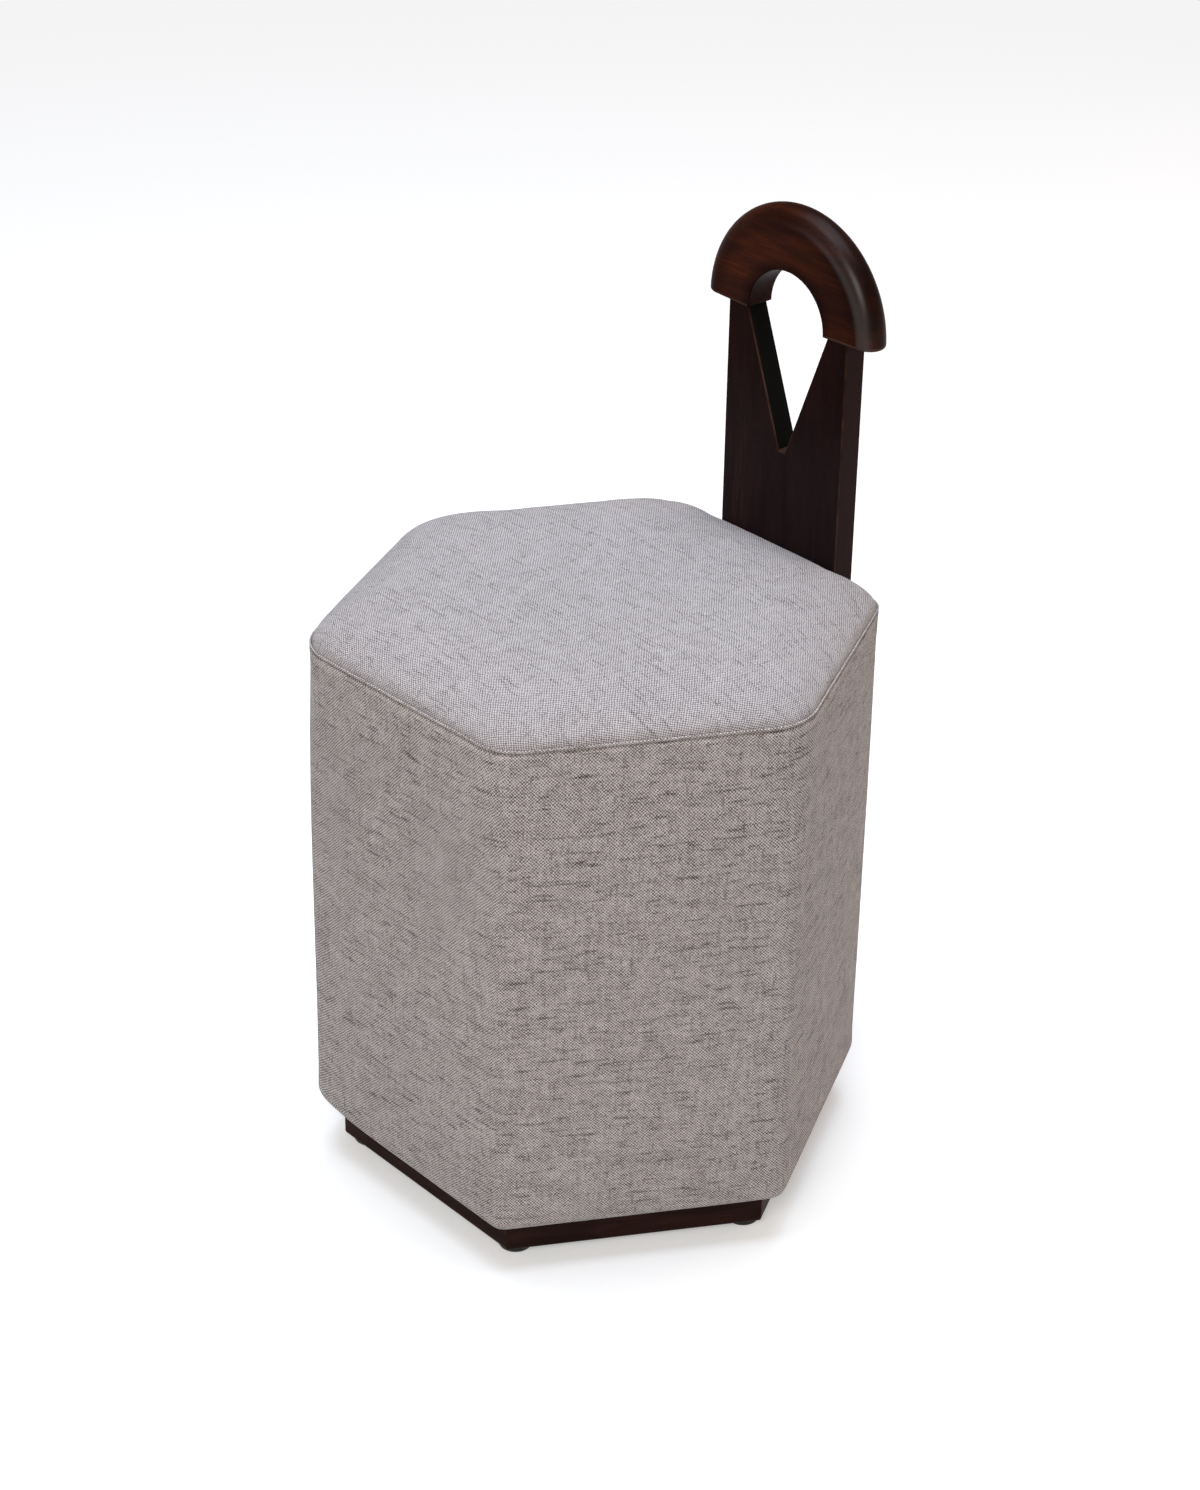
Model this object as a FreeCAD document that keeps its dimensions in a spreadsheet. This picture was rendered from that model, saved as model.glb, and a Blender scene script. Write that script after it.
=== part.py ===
"""Vanity stool: a six-sided upholstered pouf on a dark plinth, with a keyhole back rest.

Millimetres, +Z up, floor at z = 0, back rest towards +Y. The origin lies on the floor under the middle of the
whole stool, so the upright axis of the six-sided seat stands a little in front of it.
"""
import FreeCAD, Part
import math
import os

import Sketcher
from FreeCAD import Placement, Rotation, Vector

# Driving sizes in millimetres
SIZES = {
    "seat_flats": 376,
    "seat_height": 458,
    "body_bottom": 34.5,
    "corner_radius": 20,
    "shoulder_radius": 17,
    "hem_radius": 8,
    "hem_return": 48,
    "cover_thickness": 1.2,
    "side_padding_thickness": 12,
    "back_padding_thickness": 7.5,
    "seat_foam_thickness": 45,
    "panel_thickness": 12,
    "seat_board_thickness": 15,
    "bottom_board_thickness": 12,
    "post_leg": 40,
    "dust_cover_thickness": 0.6,
    "dust_cover_gap": 2,
    "plinth_flats": 338,
    "rail_width": 44,
    "rail_edge_radius": 4.5,
    "block_leg": 36,
    "block_height": 18,
    "glide_diameter": 26,
    "glide_height": 5.8,
    "glide_rim_bevel": 2.5,
    "glide_setback": 20,
    "nail_diameter": 2.6,
    "nail_head_diameter": 9,
    "nail_head_thickness": 1.5,
    "nail_head_cover": 2.5,
    "nail_grip": 15,
    "screw_diameter": 4,
    "screw_head_diameter": 8,
    "screw_head_height": 3,
    "board_screw_length": 40,
    "plinth_screw_length": 28,
    "splat_width": 123,
    "splat_thickness": 19,
    "splat_bottom": 150,
    "splat_edge_radius": 1,
    "notch_width": 83,
    "notch_depth": 113,
    "back_rise": 168,
    "crest_outer_radius": 86.5,
    "crest_inner_radius": 38.5,
    "crest_thickness": 25,
    "crest_inner_bevel": 1,
    "crest_end_ease": 3,
    "dowel_diameter": 10,
    "dowel_length": 50,
    "packing_margin": 20,
    "bolt_spread": 76,
    "bolt_rise": 60,
    "bolt_drop": 25,
    "bolt_diameter": 6,
    "bolt_head_diameter": 12,
    "bolt_head_height": 4,
    "bolt_end_gap": 1,
    "washer_diameter": 18,
    "washer_thickness": 1.5,
    "insert_diameter": 10,
    "insert_length": 13,
}

# Sizes worked out from the driving sizes
BACK_SET_IN = "(Sizes.side_padding_thickness - Sizes.back_padding_thickness)"
BACK_REST_DEPTH = "((Sizes.splat_thickness + Sizes.crest_thickness) / 2)"
AXIS = f"(({BACK_SET_IN} - {BACK_REST_DEPTH}) / 2)"
SEAT = "(Sizes.seat_flats / 2)"
SEAT_BACK = f"({SEAT} - {BACK_SET_IN})"
CARCASS = f"({SEAT} - Sizes.cover_thickness - Sizes.side_padding_thickness)"
CARCASS_INSIDE = f"({CARCASS} - Sizes.panel_thickness)"
PLINTH = "(Sizes.plinth_flats / 2)"
PLINTH_INSIDE = f"({PLINTH} - Sizes.rail_width)"
SEAM = "(Sizes.seat_height - Sizes.shoulder_radius)"
BOARD_BOTTOM = "(Sizes.body_bottom + Sizes.cover_thickness)"
PANEL_BOTTOM = f"({BOARD_BOTTOM} + Sizes.bottom_board_thickness)"
FOAM_BOTTOM = "(Sizes.seat_height - Sizes.cover_thickness - Sizes.seat_foam_thickness)"
PANEL_TOP = f"({FOAM_BOTTOM} - Sizes.seat_board_thickness)"
BOLT_LEVELS = {
    "low": "(Sizes.splat_bottom + Sizes.bolt_rise)",
    "high": f"({PANEL_TOP} - Sizes.bolt_drop)",
}
SPLAT_FRONT = f"({AXIS} + {SEAT_BACK})"
SPLAT_MIDDLE = f"({SPLAT_FRONT} + Sizes.splat_thickness / 2)"
CREST_BASE = "(Sizes.seat_height + Sizes.back_rise)"
TO_CORNER = "/ cos(30 deg)"
HALF_SIDE = "* tan(30 deg)"

SIDES = ("back", "back_left", "front_left", "front", "front_right", "back_right")
CORNERS = ("rear_left", "left", "front_left", "front_right", "right", "rear_right")
TURN = 60
FIRST_CORNER_ANGLE = 2 * TURN
FLUSH = 1e-6

doc = FreeCAD.newDocument("vanity_stool")
sizes = doc.addObject("Spreadsheet::Sheet", "Sizes")
for row, (name, value) in enumerate(SIZES.items(), start=1):
    sizes.set(f"A{row}", name)
    sizes.set(f"B{row}", str(value))
    sizes.setAlias(f"B{row}", name)
doc.recompute()
sub_parts = []


def size(name):
    """A driving size as a plain number."""
    return float(sizes.get(name))


def bind(item, **expressions):
    """Tie properties of an object to the sheet."""
    for prop, text in expressions.items():
        item.setExpression(prop, text)
    return item


def place(item, x="0", y=AXIS, z="0", turn=0, rotation=None):
    """Put an object at a place tied to the sheet, turned about the upright axis."""
    upright = Rotation(Vector(0, 0, 1), turn)
    item.Placement = Placement(Vector(), upright * rotation if rotation else upright)
    for axis, text in (("x", x), ("y", y), ("z", z)):
        item.setExpression(f".Placement.Base.{axis}", text)
    return item


def keep(item, label):
    """Name an object as one of the stool's own pieces."""
    item.Label = label
    sub_parts.append(item)
    return item


def new_body(name):
    return doc.addObject("PartDesign::Body", name)


def new_sketch(body, plane):
    """An empty sketch on one of the body's own origin planes."""
    sketch = body.newObject("Sketcher::SketchObject", body.Name + "_sketch")
    origin_plane = next(item for item in body.Origin.OriginFeatures if item.Role == plane)
    sketch.AttachmentSupport = [(origin_plane, "")]
    sketch.MapMode = "FlatFace"
    return sketch


def tie(sketch, kind, *where, text):
    """Add a sketch dimension that follows the sheet."""
    index = sketch.addConstraint(Sketcher.Constraint(kind, *where))
    sketch.setExpression(f"Constraints[{index}]", text)


def polygon(body, plane, corners):
    """A closed sketch of straight edges; each corner is a pair of sheet expressions."""
    sketch = new_sketch(body, plane)
    count = len(corners)
    start_size = 50
    angles = [2 * math.pi * step / count for step in range(count)]
    starts = [Vector(start_size * math.cos(a), start_size * math.sin(a), 0) for a in angles]
    for step in range(count):
        sketch.addGeometry(Part.LineSegment(starts[step], starts[(step + 1) % count]))
    for step in range(count):
        sketch.addConstraint(Sketcher.Constraint("Coincident", step, 2, (step + 1) % count, 1))
    for step, (across, along) in enumerate(corners):
        tie(sketch, "DistanceX", -1, 1, step, 1, starts[step].x, text=across)
        tie(sketch, "DistanceY", -1, 1, step, 1, starts[step].y, text=along)
    return sketch


def pad(body, sketch, length, symmetric=False):
    feature = body.newObject("PartDesign::Pad", body.Name + "_pad")
    feature.Profile = sketch
    if symmetric:
        feature.SideType = "Symmetric"
    return bind(feature, Length=length)


def revolve(body, sketch):
    feature = body.newObject("PartDesign::Revolution", body.Name + "_turned")
    feature.Profile = sketch
    feature.ReferenceAxis = (sketch, ["V_Axis"])
    feature.Angle = 360
    return feature


def pick_edges(base, wanted):
    """The edges of a feature that the test picks out, as a dress-up feature takes them."""
    doc.recompute()
    return base, [f"Edge{number}" for number, edge in enumerate(base.Shape.Edges, start=1) if wanted(edge)]


def round_edges(body, base, radius, wanted):
    feature = body.newObject("PartDesign::Fillet", body.Name + "_round")
    feature.Base = pick_edges(base, wanted)
    return bind(feature, Radius=radius)


def bevel_edges(body, base, width, wanted):
    feature = body.newObject("PartDesign::Chamfer", body.Name + "_bevel")
    feature.Base = pick_edges(base, wanted)
    return bind(feature, Size=width)


def cut(base, *tools):
    """Take tools out of a piece, one after another."""
    for tool in tools:
        result = doc.addObject("Part::Cut", base.Name + "_cut")
        result.Base = base
        result.Tool = tool
        base = result
    return base


def common(base, tool):
    result = doc.addObject("Part::Common", base.Name + "_common")
    result.Base = base
    result.Tool = tool
    return result


def group(label, items):
    """Like pieces gathered as one group of separate solids."""
    result = doc.addObject("Part::Compound", label)
    result.Links = items
    return keep(result, label)


def prism(name, apothem, bottom, height):
    """An upright six-sided block about the seat's axis, with flats towards the front and back."""
    item = doc.addObject("Part::Prism", name)
    item.Polygon = len(SIDES)
    bind(item, Circumradius=f"{apothem} {TO_CORNER}", Height=height)
    return place(item, z=bottom)


def box(name, width, depth, height, y, z):
    """A box centred on x = 0, standing back from y and up from z."""
    item = doc.addObject("Part::Box", name)
    bind(item, Length=width, Width=depth, Height=height)
    return place(item, x=f"-{width} / 2", y=y, z=z)


def turned(name, profile):
    """A round piece turned about its own upright axis."""
    body = new_body(name)
    revolve(body, polygon(body, "XZ_Plane", profile))
    return body


def at_corner(radius, corner):
    """Sheet expressions for a place on the line from the seat's axis to a corner."""
    angle = FIRST_CORNER_ANGLE + corner * TURN
    return {"x": f"{radius} * cos({angle} deg)", "y": f"{AXIS} + {radius} * sin({angle} deg)"}


def is_upright(edge):
    ends = [vertex.Point for vertex in edge.Vertexes]
    return len(ends) == 2 and ends[0].sub(ends[1]).cross(Vector(0, 0, 1)).Length < FLUSH


# Upholstery outline
def upholstery(name, inset):
    """The stuffed form, drawn in all round by an inset: round corners, soft shoulder, rolled hem.

    Its back is padded less than the other sides, so it lies a little nearer to the upright axis.
    """
    body = new_body(name)
    flat, back = f"({SEAT} - {inset})", f"({SEAT_BACK} - {inset})"
    rear_corner = f"({flat} - {back} * sin(30 deg)) {TO_CORNER}"
    sketch = polygon(body, "XY_Plane", [
        (f"{flat} {TO_CORNER}", "0"),
        (rear_corner, back),
        (f"-{rear_corner}", back),
        (f"-{flat} {TO_CORNER}", "0"),
        (f"-{flat} {HALF_SIDE}", f"-{flat}"),
        (f"{flat} {HALF_SIDE}", f"-{flat}"),
    ])
    block = pad(body, sketch, f"Sizes.seat_height - Sizes.body_bottom - 2 * {inset}")
    rounded = round_edges(body, block, f"Sizes.corner_radius - {inset}", is_upright)

    def at_bottom(edge):
        return edge.BoundBox.ZMax < FLUSH

    def on_top(edge):
        return not is_upright(edge) and not at_bottom(edge)

    shouldered = round_edges(body, rounded, f"Sizes.shoulder_radius - {inset}", on_top)
    round_edges(body, shouldered, f"Sizes.hem_radius - {inset}", at_bottom)
    return place(body, z=f"Sizes.body_bottom + {inset}")


# Fasteners
def wood_screw(name, length):
    """A countersunk wood screw, head at z = 0 and pointing up."""
    shank, head = "Sizes.screw_diameter / 2", "Sizes.screw_head_diameter / 2"
    return turned(name, [
        ("0", "0"),
        (head, "0"),
        (shank, "Sizes.screw_head_height"),
        (shank, length),
        ("0", length),
    ])


def corner_screws(label, length, radius, z, points_down):
    """One wood screw on each corner line of the seat."""
    screws = []
    over = Rotation(Vector(1, 0, 0), 180) if points_down else None
    for corner, name in enumerate(CORNERS):
        screw = wood_screw(f"{label}_{name}", length)
        screws.append(place(screw, z=z, rotation=over, **at_corner(radius, corner)))
    group(label, screws)
    return screws


post_line = f"({CARCASS_INSIDE} {TO_CORNER} - Sizes.post_leg / 3)"
block_line = f"({PLINTH_INSIDE} {TO_CORNER} - Sizes.block_leg / 3)"
block_bottom = "(Sizes.body_bottom - Sizes.block_height)"
low_screws = corner_screws("bottom_board_screws", "Sizes.board_screw_length", post_line, BOARD_BOTTOM, False)
high_screws = corner_screws("seat_board_screws", "Sizes.board_screw_length", post_line, FOAM_BOTTOM, True)
plinth_screws = corner_screws("plinth_screws", "Sizes.plinth_screw_length", block_line, block_bottom, False)


# Plinth
def mitred_side(name, apothem, thickness, height):
    """One straight side of a six-sided frame, mitred at both ends, its outer face towards +Y."""
    body = new_body(name)
    inside = f"({apothem} - {thickness})"
    sketch = polygon(body, "XY_Plane", [
        (f"-{apothem} {HALF_SIDE}", apothem),
        (f"-{inside} {HALF_SIDE}", inside),
        (f"{inside} {HALF_SIDE}", inside),
        (f"{apothem} {HALF_SIDE}", apothem),
    ])
    return body, pad(body, sketch, height)


def corner_block(name, apothem, leg, height):
    """A three-sided glue block that fills the inside corner of a six-sided frame, corner towards +X."""
    body = new_body(name)
    tip = f"({apothem} {TO_CORNER})"
    back = f"{tip} - {leg} * sin(30 deg)"
    wing = f"{leg} * cos(30 deg)"
    sketch = polygon(body, "XY_Plane", [(tip, "0"), (back, wing), (back, f"-{wing}")])
    pad(body, sketch, height)
    return body


glide_line = f"({PLINTH} {TO_CORNER} - Sizes.glide_setback)"
nail_head, nail_shank = "Sizes.nail_head_diameter / 2", "Sizes.nail_diameter / 2"
nail_shoulder = "Sizes.nail_head_cover + Sizes.nail_head_thickness"
nail_top = "Sizes.glide_height + Sizes.nail_grip"
nails = []
for corner, name in enumerate(CORNERS):
    nail = turned(f"glide_nail_{name}", [
        ("0", "Sizes.nail_head_cover"),
        (nail_head, "Sizes.nail_head_cover"),
        (nail_head, nail_shoulder),
        (nail_shank, nail_shoulder),
        (nail_shank, nail_top),
        ("0", nail_top),
    ])
    nails.append(place(nail, **at_corner(glide_line, corner)))
    glide = turned(f"glide_{name}_disc", [
        ("0", "0"),
        ("Sizes.glide_diameter / 2 - Sizes.glide_rim_bevel", "0"),
        ("Sizes.glide_diameter / 2", "Sizes.glide_rim_bevel"),
        ("Sizes.glide_diameter / 2", "Sizes.glide_height"),
        ("0", "Sizes.glide_height"),
    ])
    place(glide, **at_corner(glide_line, corner))
    keep(cut(glide, nail), f"glide_{name}")
group("glide_nails", nails)

rail_height = "(Sizes.body_bottom - Sizes.glide_height)"
for step, name in enumerate(SIDES):
    rail, rail_pad = mitred_side(f"plinth_rail_{name}_bar", PLINTH, "Sizes.rail_width", rail_height)
    outer_face = size("plinth_flats") / 2
    round_edges(rail, rail_pad, "Sizes.rail_edge_radius",
                lambda edge: edge.BoundBox.ZMax < FLUSH and edge.BoundBox.YMin > outer_face - FLUSH)
    place(rail, z="Sizes.glide_height", turn=step * TURN)
    keep(cut(rail, nails[step - 1], nails[step]), f"plinth_rail_{name}")

for corner, name in enumerate(CORNERS):
    block = corner_block(f"plinth_block_{name}", PLINTH_INSIDE, "Sizes.block_leg", "Sizes.block_height")
    place(block, z=block_bottom, turn=FIRST_CORNER_ANGLE + corner * TURN)
    keep(cut(block, plinth_screws[corner]), f"plinth_corner_block_{name}")

# Back rest bolts, washers and threaded inserts
bolt_head_face = f"({AXIS} + {CARCASS_INSIDE} - Sizes.washer_thickness)"
bolt_length = f"({SPLAT_FRONT} + Sizes.insert_length - Sizes.bolt_end_gap - {bolt_head_face})"
towards_back = Rotation(Vector(1, 0, 0), -90)
bolts, washers, inserts = [], [], []
for level, height in BOLT_LEVELS.items():
    for hand, side in (("left", "-"), ("right", "")):
        spot = {"x": f"{side}Sizes.bolt_spread / 2", "z": height, "rotation": towards_back}
        bolt = turned(f"splat_bolt_{level}_{hand}", [
            ("0", "-Sizes.bolt_head_height"),
            ("Sizes.bolt_head_diameter / 2", "-Sizes.bolt_head_height"),
            ("Sizes.bolt_head_diameter / 2", "0"),
            ("Sizes.bolt_diameter / 2", "0"),
            ("Sizes.bolt_diameter / 2", bolt_length),
            ("0", bolt_length),
        ])
        bolts.append(place(bolt, y=bolt_head_face, **spot))
        washer = turned(f"splat_washer_{level}_{hand}", [
            ("Sizes.bolt_diameter / 2", "0"),
            ("Sizes.washer_diameter / 2", "0"),
            ("Sizes.washer_diameter / 2", "Sizes.washer_thickness"),
            ("Sizes.bolt_diameter / 2", "Sizes.washer_thickness"),
        ])
        washers.append(place(washer, y=bolt_head_face, **spot))
        insert = turned(f"splat_insert_{level}_{hand}", [
            ("Sizes.bolt_diameter / 2", "0"),
            ("Sizes.insert_diameter / 2", "0"),
            ("Sizes.insert_diameter / 2", "Sizes.insert_length"),
            ("Sizes.bolt_diameter / 2", "Sizes.insert_length"),
        ])
        inserts.append(place(insert, y=SPLAT_FRONT, **spot))
group("splat_bolts", bolts)
group("splat_washers", washers)
group("splat_inserts", inserts)

# Carcass
bottom_board = prism("bottom_board_blank", CARCASS, BOARD_BOTTOM, "Sizes.bottom_board_thickness")
keep(cut(bottom_board, *low_screws, *plinth_screws), "bottom_board")
seat_board = prism("seat_board_blank", CARCASS, PANEL_TOP, "Sizes.seat_board_thickness")
keep(cut(seat_board, *high_screws), "seat_board")

panel_height = f"({PANEL_TOP} - {PANEL_BOTTOM})"
for step, name in enumerate(SIDES):
    panel, _ = mitred_side(f"side_panel_{name}_blank", CARCASS, "Sizes.panel_thickness", panel_height)
    place(panel, z=PANEL_BOTTOM, turn=step * TURN)
    keep(cut(panel, *bolts) if name == "back" else panel, f"side_panel_{name}")

for corner, name in enumerate(CORNERS):
    post = corner_block(f"post_{name}", CARCASS_INSIDE, "Sizes.post_leg", panel_height)
    place(post, z=PANEL_BOTTOM, turn=FIRST_CORNER_ANGLE + corner * TURN)
    keep(cut(post, low_screws[corner], high_screws[corner]), f"corner_post_{name}")

# Padding and cover
outside = upholstery("cover_outside", "0")
inside = upholstery("cover_inside", "Sizes.cover_thickness")
above_seat_board = box("above_seat_board", "(2 * Sizes.seat_flats)", "(2 * Sizes.seat_flats)",
                       "Sizes.seat_height", f"{AXIS} - Sizes.seat_flats", FOAM_BOTTOM)
keep(common(inside, above_seat_board), "seat_foam")

packing = box("back_packing_blank", "(Sizes.bolt_spread + 2 * Sizes.packing_margin)",
              "Sizes.back_padding_thickness",
              f"({BOLT_LEVELS['high']} - {BOLT_LEVELS['low']} + 2 * Sizes.packing_margin)",
              f"{AXIS} + {CARCASS}", f"{BOLT_LEVELS['low']} - Sizes.packing_margin")
core = prism("padding_core", CARCASS, "0", "Sizes.seat_height")
wrap = cut(inside, core)
for step, name in enumerate(SIDES):
    sector = doc.addObject("Part::Cylinder", f"padding_sector_{name}")
    sector.Angle = TURN
    bind(sector, Radius="Sizes.seat_flats", Height=FOAM_BOTTOM)
    place(sector, turn=TURN + step * TURN)
    slab = common(wrap, sector)
    keep(cut(slab, packing) if name == "back" else slab, f"side_padding_{name}")
keep(cut(packing, *bolts), "back_packing_board")

skin = cut(outside, inside)
above_seam = box("above_seam", "(2 * Sizes.seat_flats)", "(2 * Sizes.seat_flats)", "Sizes.seat_height",
                 f"{AXIS} - Sizes.seat_flats", SEAM)
keep(common(skin, above_seam), "cover_top")
hem_edge = f"({SEAT} - Sizes.hem_return)"
hem_opening = prism("hem_opening", hem_edge, "0", PANEL_BOTTOM)
keep(cut(skin, above_seam, hem_opening, *bolts), "cover_band")
dust_sheet = prism("dust_cover_blank", f"({hem_edge} - Sizes.dust_cover_gap)",
                   f"{BOARD_BOTTOM} - Sizes.dust_cover_thickness", "Sizes.dust_cover_thickness")
keep(cut(dust_sheet, *plinth_screws), "dust_cover")

# Back rest: notched splat, half-ring crest and the dowels between them
horn_middle = "(Sizes.splat_width + Sizes.notch_width) / 4"
dowels = []
for hand, side in (("left", "-"), ("right", "")):
    dowel = doc.addObject("Part::Cylinder", f"crest_dowel_{hand}")
    bind(dowel, Radius="Sizes.dowel_diameter / 2", Height="Sizes.dowel_length")
    dowels.append(place(dowel, x=f"{side}{horn_middle}", y=SPLAT_MIDDLE,
                        z=f"{CREST_BASE} - Sizes.dowel_length / 2"))
group("crest_dowels", dowels)

splat = new_body("back_splat_plank")
splat_height = f"({CREST_BASE} - Sizes.splat_bottom)"
splat_pad = pad(splat, polygon(splat, "XZ_Plane", [
    ("-Sizes.splat_width / 2", "0"),
    ("Sizes.splat_width / 2", "0"),
    ("Sizes.splat_width / 2", splat_height),
    ("Sizes.notch_width / 2", splat_height),
    ("0", f"{splat_height} - Sizes.notch_depth"),
    ("-Sizes.notch_width / 2", splat_height),
    ("-Sizes.splat_width / 2", splat_height),
]), "Sizes.splat_thickness", symmetric=True)
splat_top = size("seat_height") + size("back_rise") - size("splat_bottom")


def is_splat_arris(edge):
    """A long edge of the plank's front or back, apart from those in the joint under the crest."""
    return edge.BoundBox.YLength < FLUSH and edge.BoundBox.ZMin < splat_top - FLUSH


round_edges(splat, splat_pad, "Sizes.splat_edge_radius", is_splat_arris)
place(splat, y=SPLAT_MIDDLE, z="Sizes.splat_bottom")
keep(cut(splat, *inserts, *bolts, *dowels), "back_splat")

# The crest's section has a flat front and back and a full-round nose, and is turned through half a circle
crest = new_body("crest_arch_ring")
section = new_sketch(crest, "XY_Plane")
inner, half = size("crest_inner_radius"), size("crest_thickness") / 2
nose_middle = size("crest_outer_radius") - half
section.addGeometry(Part.LineSegment(Vector(inner, -half, 0), Vector(nose_middle, -half, 0)))
nose = Part.Circle(Vector(nose_middle, 0, 0), Vector(0, 0, 1), half)
section.addGeometry(Part.ArcOfCircle(nose, -math.pi / 2, math.pi / 2))
section.addGeometry(Part.LineSegment(Vector(nose_middle, half, 0), Vector(inner, half, 0)))
section.addGeometry(Part.LineSegment(Vector(inner, half, 0), Vector(inner, -half, 0)))
FRONT_FACE, NOSE, BACK_FACE, KEYHOLE = range(4)
START, END, CENTRE = 1, 2, 3
X_AXIS = -1
for face, meeting in ((FRONT_FACE, NOSE), (NOSE, BACK_FACE)):
    section.addConstraint(Sketcher.Constraint("Tangent", face, END, meeting, START))
for face, meeting in ((BACK_FACE, KEYHOLE), (KEYHOLE, FRONT_FACE)):
    section.addConstraint(Sketcher.Constraint("Coincident", face, END, meeting, START))
section.addConstraint(Sketcher.Constraint("Vertical", KEYHOLE))
section.addConstraint(Sketcher.Constraint("Horizontal", FRONT_FACE))
section.addConstraint(Sketcher.Constraint("PointOnObject", NOSE, CENTRE, X_AXIS))
tie(section, "Radius", NOSE, half, text="Sizes.crest_thickness / 2")
tie(section, "DistanceX", X_AXIS, START, NOSE, CENTRE, nose_middle,
    text="Sizes.crest_outer_radius - Sizes.crest_thickness / 2")
tie(section, "DistanceX", X_AXIS, START, KEYHOLE, START, inner, text="Sizes.crest_inner_radius")
arch = revolve(crest, section)
arch.Angle = 180
arch.Reversed = True
middle_radius = (nose_middle + inner) / 2


def is_foot_edge(edge):
    """An edge of the crest's two flat feet, apart from the short one at the keyhole."""
    foot = edge.BoundBox
    along_keyhole = foot.XLength < FLUSH and abs(foot.XMin) < middle_radius
    return foot.ZLength < FLUSH and abs(foot.ZMin) < FLUSH and not along_keyhole


def is_inner_rim(edge):
    ring = edge.BoundBox
    return ring.YLength < FLUSH and ring.ZLength > FLUSH and ring.XLength < 2 * middle_radius


eased = round_edges(crest, arch, "Sizes.crest_end_ease", is_foot_edge)
bevel_edges(crest, eased, "Sizes.crest_inner_bevel", is_inner_rim)
place(crest, y=SPLAT_MIDDLE, z=CREST_BASE)
keep(cut(crest, *dowels), "crest_arch")

# Checks and export
doc.recompute()
for item in doc.Objects:
    if "Invalid" in item.State or "Error" in item.State:
        raise RuntimeError(f"{item.Label} failed: {item.State}")
for item in sub_parts:
    if item.Shape.isNull() or not item.Shape.isValid() or not item.Shape.Solids:
        raise RuntimeError(f"{item.Label} has no sound solid")
os.makedirs("parts", exist_ok=True)
for item in sub_parts:
    item.Shape.exportStep(f"parts/{item.Label}.step")
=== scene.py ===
import math

import bpy
import bmesh
from mathutils import Matrix, Vector


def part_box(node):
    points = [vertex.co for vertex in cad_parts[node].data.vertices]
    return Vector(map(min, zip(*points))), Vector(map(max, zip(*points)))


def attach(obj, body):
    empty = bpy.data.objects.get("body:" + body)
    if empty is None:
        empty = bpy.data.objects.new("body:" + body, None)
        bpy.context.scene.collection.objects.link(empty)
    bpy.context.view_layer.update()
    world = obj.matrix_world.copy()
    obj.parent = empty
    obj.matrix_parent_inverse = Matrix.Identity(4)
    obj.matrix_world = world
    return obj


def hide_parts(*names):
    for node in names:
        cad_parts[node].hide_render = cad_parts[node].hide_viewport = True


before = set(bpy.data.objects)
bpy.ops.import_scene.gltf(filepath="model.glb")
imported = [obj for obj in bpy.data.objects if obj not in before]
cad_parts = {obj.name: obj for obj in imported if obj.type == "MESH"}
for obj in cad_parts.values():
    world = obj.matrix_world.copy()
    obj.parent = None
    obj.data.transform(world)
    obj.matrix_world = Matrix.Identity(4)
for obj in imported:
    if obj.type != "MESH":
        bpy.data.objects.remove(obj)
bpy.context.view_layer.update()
MM = 0.001


# Plinth rails: six mitred bars of hardwood, stained a very dark red-brown and given a satin lacquer.
# They are glued at the mitres and carry the body, and their grain runs along each bar.
def wire(tree, value, socket):
    """Feed a socket from another socket, or set it to a plain value."""
    if isinstance(value, bpy.types.NodeSocket):
        tree.links.new(value, socket)
    else:
        socket.default_value = value


def add_node(tree, kind, inputs=None, **settings):
    item = tree.nodes.new(kind)
    for name, value in settings.items():
        setattr(item, name, value)
    for name, value in (inputs or {}).items():
        wire(tree, value, item.inputs[name])
    return item


def calc(tree, operation, *values):
    """One step of arithmetic on plain values."""
    item = add_node(tree, "ShaderNodeMath", operation=operation)
    for socket, value in zip(item.inputs, values):
        wire(tree, value, socket)
    return item.outputs[0]


def ramp(tree, value, low, high, to_low=0.0, to_high=1.0):
    """A smooth step from one level to another."""
    limits = {"Value": value, "From Min": low, "From Max": high, "To Min": to_low, "To Max": to_high}
    return add_node(tree, "ShaderNodeMapRange", limits, interpolation_type="SMOOTHSTEP").outputs[0]


def mix_colours(tree, share, first, second, blend_type="MIX"):
    item = add_node(tree, "ShaderNodeMix", data_type="RGBA", blend_type=blend_type)
    for socket, value in zip((item.inputs[0], item.inputs[6], item.inputs[7]), (share, first, second)):
        wire(tree, value, socket)
    return item.outputs[2]


def clouds(tree, place, scale, detail=2.0, rough=0.5):
    """Soft noise over a place, from 0 to 1."""
    inputs = {"Vector": place, "Scale": scale, "Detail": detail, "Roughness": rough}
    return add_node(tree, "ShaderNodeTexNoise", inputs).outputs[0]


def drawn_out(tree, place, share):
    """The same place with its X shortened to a share, so that a pattern on it runs on along X."""
    inputs = {"Vector": place, "Scale": (share, 1.0, 1.0)}
    return add_node(tree, "ShaderNodeMapping", inputs).outputs[0]


def new_group(name, inputs, outputs):
    """An empty shader group with these named sockets; gives its tree, its inputs and its outputs."""
    tree = bpy.data.node_groups.new(name, "ShaderNodeTree")
    for direction, sockets in (("INPUT", inputs), ("OUTPUT", outputs)):
        for label, kind in sockets.items():
            tree.interface.new_socket(label, in_out=direction, socket_type="NodeSocket" + kind)
    return tree, tree.nodes.new("NodeGroupInput").outputs, tree.nodes.new("NodeGroupOutput").inputs


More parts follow.
